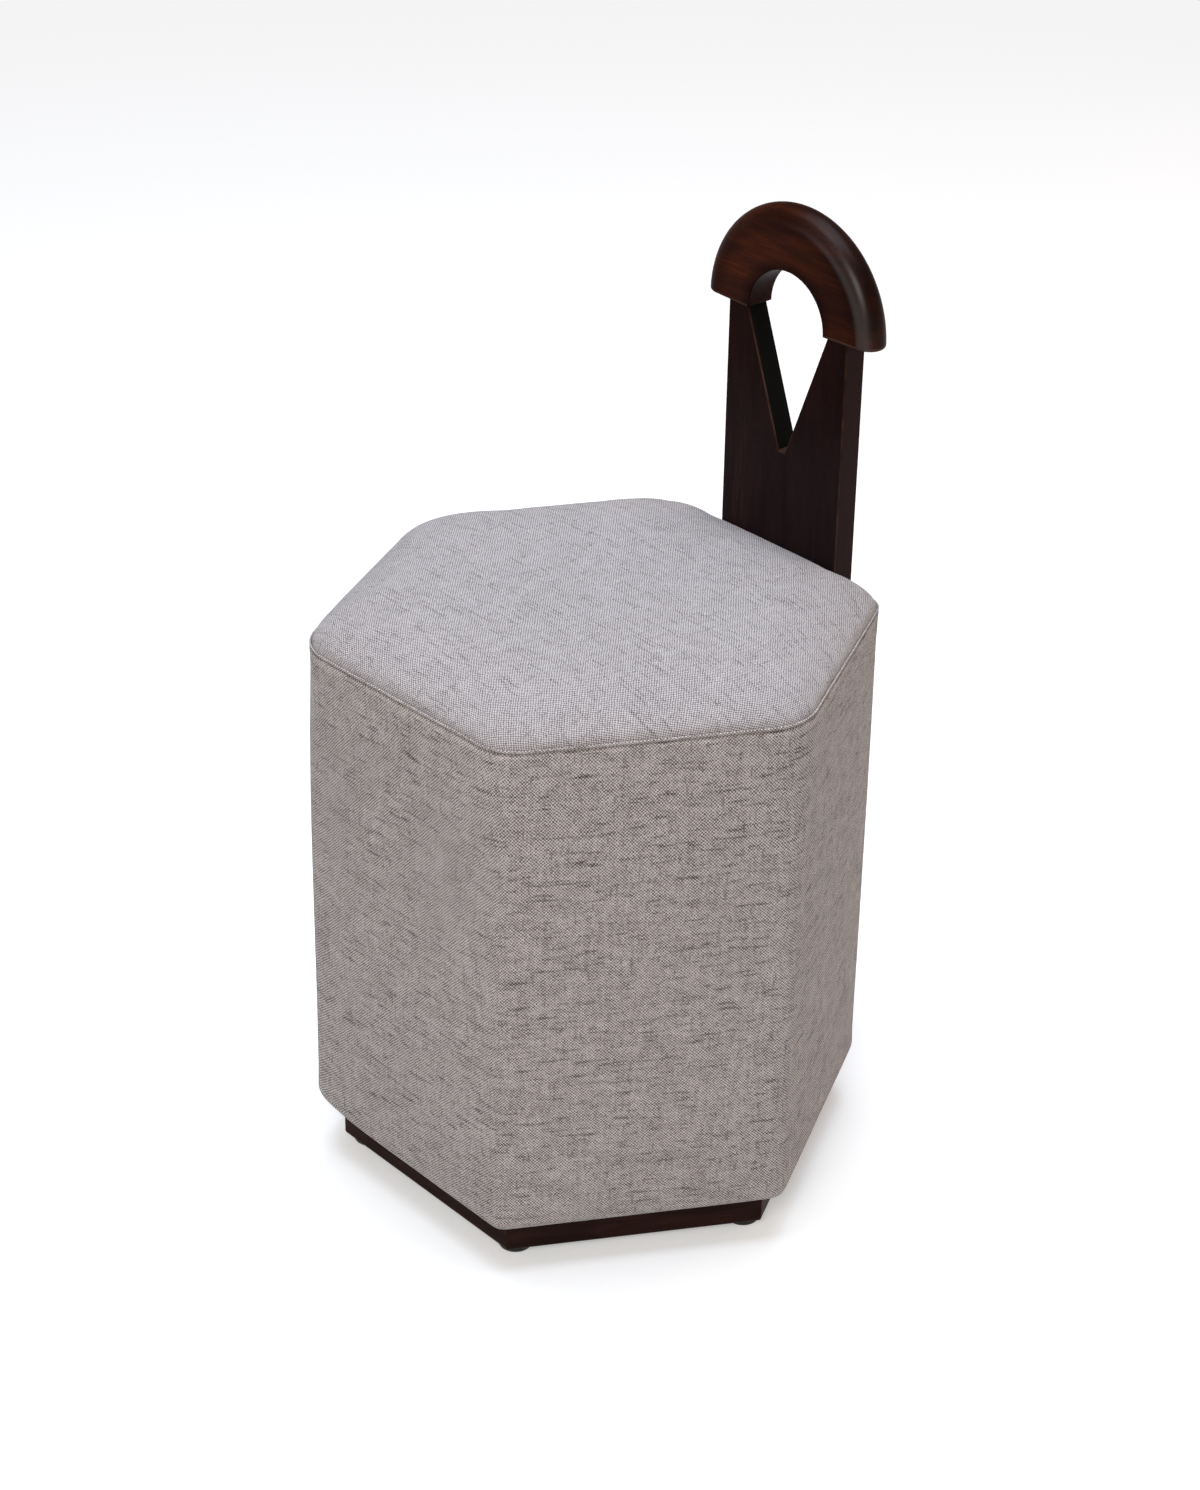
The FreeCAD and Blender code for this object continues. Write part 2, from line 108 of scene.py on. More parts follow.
def use_group(tree, group, **inputs):
    item = tree.nodes.new("ShaderNodeGroup")
    item.node_tree = group
    for name, value in inputs.items():
        wire(tree, value, item.inputs[name])
    return item.outputs


def new_material(name, **shader_values):
    """A material with its shader's constants set; gives the material, its tree and the shader's inputs."""
    material = bpy.data.materials.new(name)
    material.use_nodes = True
    tree = material.node_tree
    shader = tree.nodes["Principled BSDF"].inputs
    for label, value in shader_values.items():
        shader[label.replace("_", " ")].default_value = value
    return material, tree, shader


def object_place(tree, turn=(0.0, 0.0, 0.0), centre=(0.0, 0.0, 0.0)):
    """A place on the piece, in metres, counted from a centre and turned to the run of its pattern."""
    coordinates = tree.nodes.new("ShaderNodeTexCoord").outputs["Object"]
    inputs = {"Vector": coordinates, "Rotation": turn, "Location": centre}
    return add_node(tree, "ShaderNodeMapping", inputs, vector_type="TEXTURE").outputs[0]


def bump(tree, height, distance, strength=1.0):
    inputs = {"Height": height, "Distance": distance, "Strength": strength}
    return add_node(tree, "ShaderNodeBump", inputs).outputs[0]


def dress(objects, material):
    """Give whole objects one material."""
    for item in objects:
        item.data.materials.clear()
        item.data.materials.append(material)


def nodes_named(start):
    """The frame's own pieces whose names begin with these words."""
    return [item for name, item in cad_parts.items() if name.startswith(start)]


grain_tree, grain_in, grain_out = new_group(
    "stained_grain",
    {"Place": "Vector", "Dark": "Color", "Light": "Color", "Figure": "Float"},
    {"Color": "Color", "Roughness": "Float", "Height": "Float"},
)


def grain_noise(share, scale, detail, rough=0.5):
    """Noise that runs on along the grain."""
    return clouds(grain_tree, drawn_out(grain_tree, grain_in["Place"], share), scale, detail, rough)


fibres = grain_noise(0.03, 900.0, 3.0, 0.6)
bands = grain_noise(0.12, 75.0, 3.0, 0.55)
stain = grain_noise(0.45, 38.0, 2.0)
pores = ramp(grain_tree, grain_noise(0.05, 1700.0, 1.0), 0.62, 0.72)
fibre_tone = ramp(grain_tree, fibres, 0.3, 0.7, 0.35)
patch_tone = ramp(grain_tree, stain, 0.25, 0.75, 0.3)
tone = ramp(grain_tree, bands, 0.25, 0.75)
for share in (fibre_tone, patch_tone, grain_in["Figure"]):
    tone = calc(grain_tree, "MULTIPLY", tone, share)
relief = calc(grain_tree, "SUBTRACT", calc(grain_tree, "MULTIPLY", fibres, 0.5), pores)
wire(grain_tree, mix_colours(grain_tree, tone, grain_in["Dark"], grain_in["Light"]), grain_out["Color"])
wire(grain_tree, ramp(grain_tree, fibres, 0.25, 0.75, 0.30, 0.42), grain_out["Roughness"])
wire(grain_tree, relief, grain_out["Height"])

WOOD_GLOSS = {
    "Specular_IOR_Level": 0.015,
    "Specular_Tint": (1.0, 0.6, 0.5, 1.0),
    "Coat_Weight": 0.01,
    "Coat_Roughness": 0.35,
}
GRAIN_DEPTH = 0.06 * MM


def stained_wood(name, dark, light, figure, turn, centre=(0.0, 0.0, 0.0)):
    """Stained hardwood whose grain runs along X after the turn.

    Gives the material, its tree, its shader's inputs, the grain's outputs and the place that it reads.
    """
    material, tree, shader = new_material(name, **WOOD_GLOSS)
    place = object_place(tree, turn, centre)
    grain = use_group(tree, grain_tree, Place=place, Dark=dark, Light=light, Figure=figure)
    wire(tree, grain["Color"], shader["Base Color"])
    wire(tree, grain["Roughness"], shader["Roughness"])
    wire(tree, bump(tree, grain["Height"], GRAIN_DEPTH), shader["Normal"])
    return material, tree, shader, grain, place


PLINTH_DARK = (0.0155, 0.0080, 0.0072, 1.0)
PLINTH_LIGHT = (0.055, 0.022, 0.016, 1.0)
SIDES = ("back", "back_left", "front_left", "front", "front_right", "back_right")
SIDE_TURN = math.radians(60)
for step, side in enumerate(SIDES):
    along_rail = (0, 0, step * SIDE_TURN)
    rail_wood = stained_wood(f"plinth_wood_{side}", PLINTH_DARK, PLINTH_LIGHT, 1.0, along_rail)[0]
    dress([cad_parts[f"plinth_rail_{side}"]], rail_wood)


# Corner blocks and carcass posts: sawn softwood, glued into the inside corners of the plinth and the body.
# They stay hidden, so they keep the pale yellow of the raw wood and its saw marks.
SAW_MARKS = 0.1 * MM
UPRIGHT = (0, -math.radians(90), 0)
SOFTWOOD_DARK = (0.46, 0.29, 0.15, 1.0)
SOFTWOOD_PALE = (0.62, 0.44, 0.26, 1.0)


def pale_wood(name, dark, light, turn):
    material, tree, shader = new_material(name, Specular_IOR_Level=0.3)
    place = object_place(tree, turn)
    rings = clouds(tree, drawn_out(tree, place, 0.06), 160.0, 3.0)
    wire(tree, mix_colours(tree, ramp(tree, rings, 0.35, 0.65), dark, light), shader["Base Color"])
    wire(tree, ramp(tree, rings, 0.3, 0.7, 0.6, 0.75), shader["Roughness"])
    wire(tree, bump(tree, clouds(tree, place, 900.0), SAW_MARKS), shader["Normal"])
    return material


softwood = pale_wood("softwood", SOFTWOOD_DARK, SOFTWOOD_PALE, UPRIGHT)
dress(nodes_named("plinth_corner_block") + nodes_named("corner_post"), softwood)


# Glides: six round black nylon pads nailed under the plinth near its corners.
# Each has a rounded rim and a shallow dish in the middle, where the head of its nail lies.
def edit(piece):
    """Go into edit mode on one piece, with nothing in it selected."""
    bpy.context.view_layer.objects.active = piece
    bpy.ops.object.mode_set(mode="EDIT")
    bpy.ops.mesh.select_all(action="DESELECT")


def pick(piece, kind, wanted):
    """Select in edit mode the vertices, edges or faces that pass a test."""
    bpy.ops.mesh.select_mode(type=kind)
    bpy.ops.mesh.select_all(action="DESELECT")
    cage = bmesh.from_edit_mesh(piece.data)
    for item in {"VERT": cage.verts, "EDGE": cage.edges, "FACE": cage.faces}[kind]:
        if wanted(item):
            item.select_set(True)
    cage.select_flush_mode()
    bmesh.update_edit_mesh(piece.data)


def done(piece, angle=40):
    """Leave edit mode with normals outwards and soft shading up to an angle between faces."""
    bpy.ops.mesh.select_all(action="SELECT")
    bpy.ops.mesh.normals_make_consistent(inside=False)
    bpy.ops.object.mode_set(mode="OBJECT")
    bpy.ops.object.select_all(action="DESELECT")
    piece.select_set(True)
    bpy.ops.object.shade_smooth_by_angle(angle=math.radians(angle))
    return piece


def start(name):
    """Name the primitive just added, and put its place into its mesh."""
    piece = bpy.context.active_object
    piece.name = piece.data.name = name
    bpy.ops.object.transform_apply(location=True, rotation=True, scale=True)
    return piece


def middle(item):
    """The middle of an edge or face."""
    corners = [vertex.co for vertex in item.verts]
    return sum(corners, Vector()) / len(corners)


def finish_piece(piece, material, slot, *nodes):
    """Dress a new piece, fix it to the stool and let it stand for the frame's pieces."""
    dress([piece], material)
    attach(piece, "root")
    if nodes:
        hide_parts(*nodes)


NYLON_BLACK = (0.008, 0.008, 0.008, 1)
NYLON_SCUFF = (0.022, 0.021, 0.02, 1)
NYLON_PITTING = 0.05 * MM
nylon, tree, shader = new_material("black_nylon", Specular_IOR_Level=0.35)
place = object_place(tree)
scuffs = clouds(tree, place, 240.0, 4.0, 0.65)
scuffed = mix_colours(tree, ramp(tree, scuffs, 0.5, 0.75), NYLON_BLACK, NYLON_SCUFF)
wire(tree, scuffed, shader["Base Color"])
wire(tree, ramp(tree, scuffs, 0.3, 0.7, 0.38, 0.6), shader["Roughness"])
wire(tree, bump(tree, clouds(tree, place, 1500.0, 2.0), NYLON_PITTING), shader["Normal"])

GLIDE_POINTS = 48
GLIDE_RIM = 2.6 * MM
GLIDE_DISH = 0.8 * MM
NAIL_HEAD = 4.5 * MM
for item in nodes_named("glide_"):
    if item.name.startswith("glide_nails"):
        continue
    low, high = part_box(item.name)
    spot = ((low[0] + high[0]) / 2, (low[1] + high[1]) / 2, (low[2] + high[2]) / 2)
    radius = (high[0] - low[0]) / 2
    depth = high[2] - low[2]
    bpy.ops.object.select_all(action="DESELECT")
    bpy.ops.mesh.primitive_cylinder_add(vertices=GLIDE_POINTS, radius=radius, depth=depth, location=spot)
    glide = start(f"{item.name}_pad")
    edit(glide)
    pick(glide, "EDGE", lambda edge: all(vertex.co.z < spot[2] for vertex in edge.verts))
    bpy.ops.mesh.bevel(offset=GLIDE_RIM, segments=5, affect="EDGES")
    pick(glide, "FACE", lambda face: face.normal.z < -0.99)
    bpy.ops.mesh.inset(thickness=radius - GLIDE_RIM - NAIL_HEAD)
    bpy.ops.mesh.inset(thickness=GLIDE_DISH)
    bpy.ops.transform.translate(value=(0, 0, GLIDE_DISH))
    finish_piece(done(glide), nylon, "glide_plastic", item.name)


# Fasteners: bright zinc-plated nails, screws, bolts and washers, and brass threaded inserts in the splat.
# Nails hold the glides, screws the boards and the plinth, and bolts draw the back rest against the body.
def bare_metal(name, dull, bright, rough):
    material, tree, shader = new_material(name, Metallic=1.0)
    blotches = clouds(tree, object_place(tree), 320.0, 3.0)
    wire(tree, mix_colours(tree, ramp(tree, blotches, 0.35, 0.65), dull, bright), shader["Base Color"])
    wire(tree, ramp(tree, blotches, 0.3, 0.7, rough, rough + 0.15), shader["Roughness"])
    return material


ZINC_DULL = (0.42, 0.42, 0.40, 1)
ZINC_BRIGHT = (0.62, 0.62, 0.60, 1)
BRASS_DULL = (0.48, 0.31, 0.10, 1)
BRASS_BRIGHT = (0.66, 0.46, 0.18, 1)
zinc = bare_metal("zinc_plate", ZINC_DULL, ZINC_BRIGHT, 0.28)
brass = bare_metal("insert_brass", BRASS_DULL, BRASS_BRIGHT, 0.25)
for name in ("glide_nails", "plinth_screws", "bottom_board_screws", "seat_board_screws", "splat_bolts",
             "splat_washers"):
    dress(nodes_named(name), zinc)
dress(nodes_named("splat_inserts"), brass)


# Carcass boards: the bottom, the six side panels, the seat board and the packing board are birch plywood.
# They stay hidden behind the padding and the dust cover, in plain pale veneer.
BIRCH_DARK = (0.50, 0.35, 0.20, 1)
BIRCH_PALE = (0.64, 0.49, 0.31, 1)
VENEER_DEPTH = 0.1 * MM
ply, tree, shader = new_material("birch_ply", Specular_IOR_Level=0.3)
veneer = clouds(tree, drawn_out(tree, object_place(tree), 0.08), 140.0, 3.0)
wire(tree, mix_colours(tree, ramp(tree, veneer, 0.3, 0.7), BIRCH_DARK, BIRCH_PALE), shader["Base Color"])
wire(tree, ramp(tree, veneer, 0.3, 0.7, 0.55, 0.7), shader["Roughness"])
wire(tree, bump(tree, veneer, VENEER_DEPTH), shader["Normal"])
for name in ("bottom_board", "seat_board", "side_panel", "back_packing_board"):
    dress([item for item in nodes_named(name) if "screws" not in item.name], ply)


# Dust cover: a thin black non-woven sheet stapled flat under the bottom board.
# Its pressed fibres leave a pattern of small dimples.
CAMBRIC_BLACK = (0.008, 0.008, 0.009, 1)
CAMBRIC_GREY = (0.028, 0.028, 0.030, 1)
DIMPLE_DEPTH = 0.15 * MM
cambric, tree, shader = new_material("black_cambric", Specular_IOR_Level=0.15)
place = object_place(tree)
fluff = clouds(tree, place, 700.0, 4.0, 0.7)
dimples = add_node(tree, "ShaderNodeTexVoronoi", {"Vector": place, "Scale": 420.0}).outputs[0]
wire(tree, mix_colours(tree, fluff, CAMBRIC_BLACK, CAMBRIC_GREY), shader["Base Color"])
wire(tree, ramp(tree, fluff, 0.3, 0.7, 0.8, 0.95), shader["Roughness"])
wire(tree, bump(tree, dimples, DIMPLE_DEPTH), shader["Normal"])
dress(nodes_named("dust_cover"), cambric)


# Side cover: one band of slubby linen-look cloth drawn round the six sides over thin foam.
# Its top edge is folded, stands a little proud and is stitched along.
# Its hem rolls under the body to the bottom board.
def level(node, end, axis):
    """Where a piece of the frame begins (0) or ends (1) along an axis."""
    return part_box(node)[end][axis]


AXIS_Y = (level("bottom_board", 1, 1) + level("bottom_board", 0, 1)) / 2
BODY = AXIS_Y - level("cover_band", 0, 1)
BACK_SET_IN = AXIS_Y + BODY - level("cover_band", 1, 1)
BODY_BOTTOM = level("cover_band", 0, 2)
SEAM = level("cover_band", 1, 2)
SEAT_TOP = level("cover_top", 1, 2)
FOAM_BOTTOM = level("seat_foam", 0, 2)
CARCASS = (level("bottom_board", 1, 1) - level("bottom_board", 0, 1)) / 2
SPLAT_FACE = level("back_splat", 0, 1)
SPLAT_HALF = level("back_splat", 1, 0)
SPLAT_FOOT = level("back_splat", 0, 2)
HALF_SIDE = math.tan(math.radians(30))
LARGEST_CORNER = 0.97


def smooth_step(value, low, high):
    share = min(max((value - low) / (high - low), 0.0), 1.0)
    return share * share * (3 - 2 * share)


def on_ring(apothem, set_in, corner, side, share):
    """A place on a six-sided ring with round corners: share runs from -1 to 1 along each side.

    The back lies nearer to the axis than the other sides by the set-in.
    """
    next_side = side + int(math.copysign(1, share))
    own, beside = (apothem - set_in * (number % 6 == 0) for number in (side, next_side))
    corner = min(corner, LARGEST_CORNER * own, LARGEST_CORNER * beside)
    flat = (beside - own / 2) / math.cos(math.radians(30)) - corner * HALF_SIDE
    reach = abs(share) * (flat + corner * math.pi / 6)
    swing = max(reach - flat, 0.0) / corner
    across = math.copysign(min(reach, flat) + corner * math.sin(swing), share)
    out = own - corner + corner * math.cos(swing)
    turn = side * SIDE_TURN
    return Vector((-across * math.cos(turn) - out * math.sin(turn),
                   AXIS_Y - across * math.sin(turn) + out * math.cos(turn), 0))


def ring_length(apothem, corner):
    return 12 * ((apothem - corner) * HALF_SIDE + corner * math.pi / 6)


def set_uv(piece, places, wrap=None):
    """Lay the cloth flat: each corner of a face takes its vertex's place on the cut cloth, in metres."""
    layer = piece.data.uv_layers.new(name="cloth").data
    for face in piece.data.polygons:
        across = [places[index][0] for index in face.vertices]
        for loop, index, u in zip(face.loop_indices, face.vertices, across):
            if wrap and max(across) - u > wrap / 2:
                u += wrap
            layer[loop].uv = (u, places[index][1])


SIM_FRAMES = 20


def inflate(piece, sewn, pressure, most):
    """Let the padding press the cloth out from where it is sewn; no point travels further than the most."""
    before = [vertex.co.copy() for vertex in piece.data.vertices]
    group = piece.vertex_groups.new(name="sewn")
    group.add(sewn, 1.0, "REPLACE")
    cloth = piece.modifiers.new("cloth", "CLOTH")
    cloth.settings.vertex_group_mass = group.name
    cloth.settings.use_pressure = True
    cloth.settings.uniform_pressure_force = pressure
    cloth.settings.effector_weights.gravity = 0
    cloth.point_cache.frame_start = 1
    cloth.point_cache.frame_end = SIM_FRAMES
    for number in range(1, SIM_FRAMES + 1):
        bpy.context.scene.frame_set(number)
    bpy.ops.object.select_all(action="DESELECT")
    bpy.context.view_layer.objects.active = piece
    piece.select_set(True)
    bpy.ops.object.modifier_apply(modifier=cloth.name)
    bpy.context.scene.frame_set(1)
    piece.vertex_groups.clear()
    for vertex, home in zip(piece.data.vertices, before):
        travel = vertex.co - home
        if travel.length > 0:
            vertex.co = home + travel * (most * math.tanh(travel.length / most) / travel.length)


def subdivide(piece, levels):
    bpy.context.view_layer.objects.active = piece
    fine = piece.modifiers.new("fine", "SUBSURF")
    fine.levels = fine.render_levels = levels
    bpy.ops.object.modifier_apply(modifier=fine.name)
    bpy.ops.object.select_all(action="DESELECT")
    piece.select_set(True)
    bpy.ops.object.shade_smooth()


SPLAT_GAP = 0.1 * MM
PRESS_DEPTH = 3 * MM
PRESS_FROM, PRESS_TO = 0.5 * MM, 12 * MM


def clear_of_splat(piece):
    """Press the cloth flat where the back rest is bolted against it."""
    for vertex in piece.data.vertices:
        beside = max(abs(vertex.co.x) - SPLAT_HALF, SPLAT_FOOT - vertex.co.z, 0.0)
        limit = SPLAT_FACE - SPLAT_GAP + PRESS_DEPTH * smooth_step(beside, PRESS_FROM, PRESS_TO)
        vertex.co.y = min(vertex.co.y, limit)


SIDE_POINTS = 36
HEM_CORNER = 7 * MM
HEM_ROLL = 12 * MM
DUST_COVER_GAP = 2 * MM
HEM_RETURN = level("dust_cover", 1, 1) - AXIS_Y + DUST_COVER_GAP
HEM_TIGHT_BELOW = 150 * MM
CLOTH = 1.2 * MM
SOFT_DROP = 200 * MM

# The soft corners differ a little: how round the seam, the sides and the rolled hem lie over each, and how
# far the seam rises or dips there, in the order rear left, left, front left, front right, right, rear right
SEAM_CORNERS = [radius * MM for radius in (50, 42, 44, 36, 44, 20)]
SIDE_CORNERS = [radius * MM for radius in (13, 13, 12, 16, 18, 5)]
HEM_ROLLS = [radius * MM for radius in (16, 18, 21, 12, 13, 13)]
SEAM_RISES = [rise * MM for rise in (-2.0, -8.5, -2.0, 1.0, 2.0, -3.5)]
RISE_DROP = 120 * MM


def at_corner(values, side, share):
    """The value that belongs to the nearer corner."""
    return values[(side if share >= 0 else side - 1) % 6]


def seam_rise(side, share):
    """How far the seam lies above its mean height, easing from one corner to the next."""
    first, second = SEAM_RISES[(side - 1) % 6], SEAM_RISES[side % 6]
    return first + (second - first) * smooth_step(share, -1, 1)


def band_corner(z, side, share):
    """Corner radius of the band: soft at the seam, tighter below it and over the carcass at the hem."""
    tight = at_corner(SIDE_CORNERS, side, share)
    soft = (at_corner(SEAM_CORNERS, side, share) - tight) * max(1 - (SEAM - z) / SOFT_DROP, 0) ** 2
    return tight + soft - (tight - HEM_CORNER) * smooth_step(z, HEM_TIGHT_BELOW, BODY_BOTTOM)


# The band's folded edge at the seam, as pairs of distance outwards and height in millimetres, and the
# painted light on some
# of its rows: lighter on the ridge, partly stretched cloth and partly a painted highlight, and painted shade
# in the groove
FOLD = ((-1.3, -0.9), (-0.8, 0.1), (-0.2, 0.45), (0.35, 0.0), (0.45, -0.8), (0.1, -1.5), (-0.6, -2.1),
        (-0.7, -2.8), (0.0, -3.5), (0.35, -4.6), (0.05, -6.2))
FOLD_PAINTED_LIGHT = {2: 0.3, 3: 0.5, 4: 0.2, 6: -0.8, 7: -0.8, 9: 0.5, 10: 0.3}
FOLD_DROP = 9 * MM
SIDE_ROWS = 60
HEM_STEPS = 6
UNDER_STEPS = 5

# The band closes on itself round its padding: behind it runs just off the carcass, and at the seat's foam
# just within the cloth
SLACK = 0.2 * MM
FOAM_GAP = 0.5 * MM
BEHIND = CARCASS + SLACK
INSIDE = BODY - CLOTH - SLACK
UNDER_CORNER = 4 * MM
CARCASS_CORNER = 1.5 * MM
INNER_BEND = 1 * MM


def band_section(side, share):
    """The band's section at a place round the body: down the outside, under the hem and up the inside.

    Each row gives the distance from the axis, the height, how far the back is set in and the corner radius.
    """
    roll = HEM_ROLL + (at_corner(HEM_ROLLS, side, share) - HEM_ROLL) * share ** 4
    outside = [(BODY + out * MM, SEAM + up * MM) for out, up in FOLD]
    top, foot = SEAM - FOLD_DROP, BODY_BOTTOM + roll
    outside += [(BODY, top + (foot - top) * step / SIDE_ROWS) for step in range(SIDE_ROWS)]
    for step in range(HEM_STEPS + 1):
        swing = math.radians(90) * step / HEM_STEPS
        outside.append((BODY - roll * (1 - math.cos(swing)), BODY_BOTTOM + roll * (1 - math.sin(swing))))
    section = []
    for apothem, z in outside:
        rise = seam_rise(side, share) * smooth_step(z, SEAM - RISE_DROP, SEAM)
        section.append((apothem, z + rise, BACK_SET_IN, band_corner(z, side, share)))
    hem_inner = BODY - roll
    for step in range(1, UNDER_STEPS + 1):
        apothem = hem_inner + (HEM_RETURN - hem_inner) * step / UNDER_STEPS
        corner = max(HEM_CORNER + apothem - hem_inner, UNDER_CORNER)
        section.append((apothem, BODY_BOTTOM, BACK_SET_IN * (1 - step / UNDER_STEPS), corner))
    board = BODY_BOTTOM + CLOTH - SLACK
    foam = FOAM_BOTTOM - FOAM_GAP
    soft = band_corner(FOAM_BOTTOM, side, share)
    return section + [
        (HEM_RETURN, board, 0, UNDER_CORNER),
        (BEHIND - INNER_BEND, board, 0, CARCASS_CORNER),
        (BEHIND, board + 1.2 * INNER_BEND, 0, CARCASS_CORNER),
        (BEHIND, (board + foam) / 2, 0, CARCASS_CORNER),
        (BEHIND, foam - 1.5 * INNER_BEND, 0, CARCASS_CORNER),
        (BEHIND, foam, 0, CARCASS_CORNER),
        (INSIDE - INNER_BEND, foam, BACK_SET_IN, soft),
        (INSIDE, foam + 1.5 * INNER_BEND, BACK_SET_IN, soft),
    ]


plain_section = band_section(1, 0)
ROWS = len(plain_section)
OUTSIDE_ROWS = len(FOLD) + SIDE_ROWS + HEM_STEPS + 1
RING_POINTS = len(SIDES) * SIDE_POINTS
BAND_PRESSURE, BAND_SWELL = 1.5, 0.8 * MM
bpy.ops.object.select_all(action="DESELECT")
bpy.ops.mesh.primitive_torus_add(
    major_segments=RING_POINTS, minor_segments=ROWS, major_radius=BODY, minor_radius=BODY / 2)
band = start("side_cover")
round_the_body = ring_length(BODY, SIDE_CORNERS[0])
drops = [0.0]
for (a0, z0, *_), (a1, z1, *_) in zip(plain_section, plain_section[1:]):
    drops.append(drops[-1] + math.hypot(a1 - a0, z1 - z0))
band_uv, sewn = [], []
# The fold attribute carries painted light along the seam: lighter ridge rows, partly a painted highlight,
# and painted shade in the groove rows.
fold = band.data.attributes.new("fold", "FLOAT", "POINT")
for column in range(RING_POINTS):
    turn = column / SIDE_POINTS
    side = math.floor(turn + 0.5)
    share = 2 * (turn - side)
    for row, (apothem, z, set_in, corner) in enumerate(band_section(side, share)):
        vertex = band.data.vertices[column * ROWS + row]
        vertex.co = on_ring(apothem, set_in, corner, side, share)
        vertex.co.z = z
        fold.data[vertex.index].value = FOLD_PAINTED_LIGHT.get(row, 0.0)
        band_uv.append((column / RING_POINTS * round_the_body, -drops[row]))
        if row < len(FOLD) or row >= OUTSIDE_ROWS:
            sewn.append(vertex.index)
set_uv(band, band_uv, round_the_body)
edit(band)
done(band)
inflate(band, sewn, BAND_PRESSURE, BAND_SWELL)
subdivide(band, 1)
clear_of_splat(band)

weave_tree, weave_in, weave_out = new_group(
    "slub_weave",
    {"Place": "Vector", "Warp": "Color", "Weft": "Color", "Slub": "Color", "Unevenness": "Float"},
    {"Color": "Color", "Roughness": "Float", "Height": "Float"},
)
YARN = 1.22 * MM
SWAY_SCALE, SWAY_YARNS = 14.0, 1.2
JITTER_SCALE, JITTER_YARNS = 240.0, 1.4
YARN_STRIDE = 7.31
SHORT_SLUB, LONG_SLUB, WARP_SLUB = 8 * MM, 26 * MM, 10 * MM
WEFT_RUN, WARP_RUN = 24 * MM, 26 * MM
YARN_TONE, MOTTLE_TONE, CROSSING_TONE = 0.12, 0.07, 0.35


def weave_calc(operation, *values):
    return calc(weave_tree, operation, *values)


def weave_ramp(value, low, high, to_low=0.0, to_high=1.0):
    return ramp(weave_tree, value, low, high, to_low, to_high)


def drift(scale, yarns):
    """How far the yarns lie off their straight lines across and along the cloth, counted in yarns."""
    inputs = {"Vector": weave_in["Place"], "Scale": scale, "Detail": 1.0}
    wander = add_node(weave_tree, "ShaderNodeTexNoise", inputs).outputs[1]
    both = add_node(weave_tree, "ShaderNodeSeparateColor", {"Color": wander}).outputs
    return [weave_calc("MULTIPLY", way, yarns) for way in both[:2]]


def yarn_count(along, sway, jitter):
    """Which yarn lies at a place, counted across the cloth, with a slow sway and a fine jitter."""
    return weave_calc("ADD", weave_calc("ADD", weave_calc("DIVIDE", along, YARN), sway), jitter)


def yarn_noise(along, yarn, length, seed):
    """Noise that runs along single yarns and changes from one yarn to the next."""
    row = weave_calc("MULTIPLY", weave_calc("FLOOR", yarn), YARN_STRIDE)
    inputs = {"X": weave_calc("DIVIDE", along, length), "Y": row, "Z": seed}
    place = add_node(weave_tree, "ShaderNodeCombineXYZ", inputs).outputs[0]
    return clouds(weave_tree, place, 1.0, 1.0, 0.5)


def wave(yarn):
    return weave_calc("SINE", weave_calc("MULTIPLY", yarn, math.pi))


split = add_node(weave_tree, "ShaderNodeSeparateXYZ", {"Vector": weave_in["Place"]}).outputs
across, down = split["X"], split["Y"]
sway, jitter = drift(SWAY_SCALE, SWAY_YARNS), drift(JITTER_SCALE, JITTER_YARNS)
warp = yarn_count(across, sway[0], jitter[0])
weft = yarn_count(down, sway[1], jitter[1])
over = weave_calc("MULTIPLY", wave(warp), wave(weft))

short_slub = weave_ramp(yarn_noise(across, weft, SHORT_SLUB, 0.0), 0.54, 0.74, 0.0, 0.6)
long_slub = weave_ramp(yarn_noise(across, weft, LONG_SLUB, 20.0), 0.58, 0.72)
weft_slub = weave_calc("MULTIPLY", weave_calc("MAXIMUM", short_slub, long_slub), weave_in["Unevenness"])
warp_slub = weave_ramp(yarn_noise(down, warp, WARP_SLUB, 40.0), 0.60, 0.76)

weft_tone = weave_ramp(yarn_noise(across, weft, WEFT_RUN, 60.0), 0.3, 0.7, -YARN_TONE, YARN_TONE)
warp_tone = weave_ramp(yarn_noise(down, warp, WARP_RUN, 80.0), 0.3, 0.7, -YARN_TONE, YARN_TONE)
mottle = clouds(weave_tree, drawn_out(weave_tree, weave_in["Place"], 0.45), 70.0, 2.0, 0.6)
mottle_tone = weave_ramp(mottle, 0.3, 0.7, -MOTTLE_TONE, MOTTLE_TONE)
numbers = {"X": weave_calc("FLOOR", warp), "Y": weave_calc("FLOOR", weft)}
crossing = add_node(weave_tree, "ShaderNodeCombineXYZ", numbers).outputs[0]
chance = add_node(weave_tree, "ShaderNodeTexWhiteNoise", {"Vector": crossing}).outputs["Value"]
crossing_tone = weave_calc("MULTIPLY", weave_calc("SUBTRACT", chance, 0.5), CROSSING_TONE)
uneven = weft_tone
for more in (warp_tone, mottle_tone, crossing_tone):
    uneven = weave_calc("ADD", uneven, more)
uneven = weave_calc("MULTIPLY", uneven, weave_in["Unevenness"])

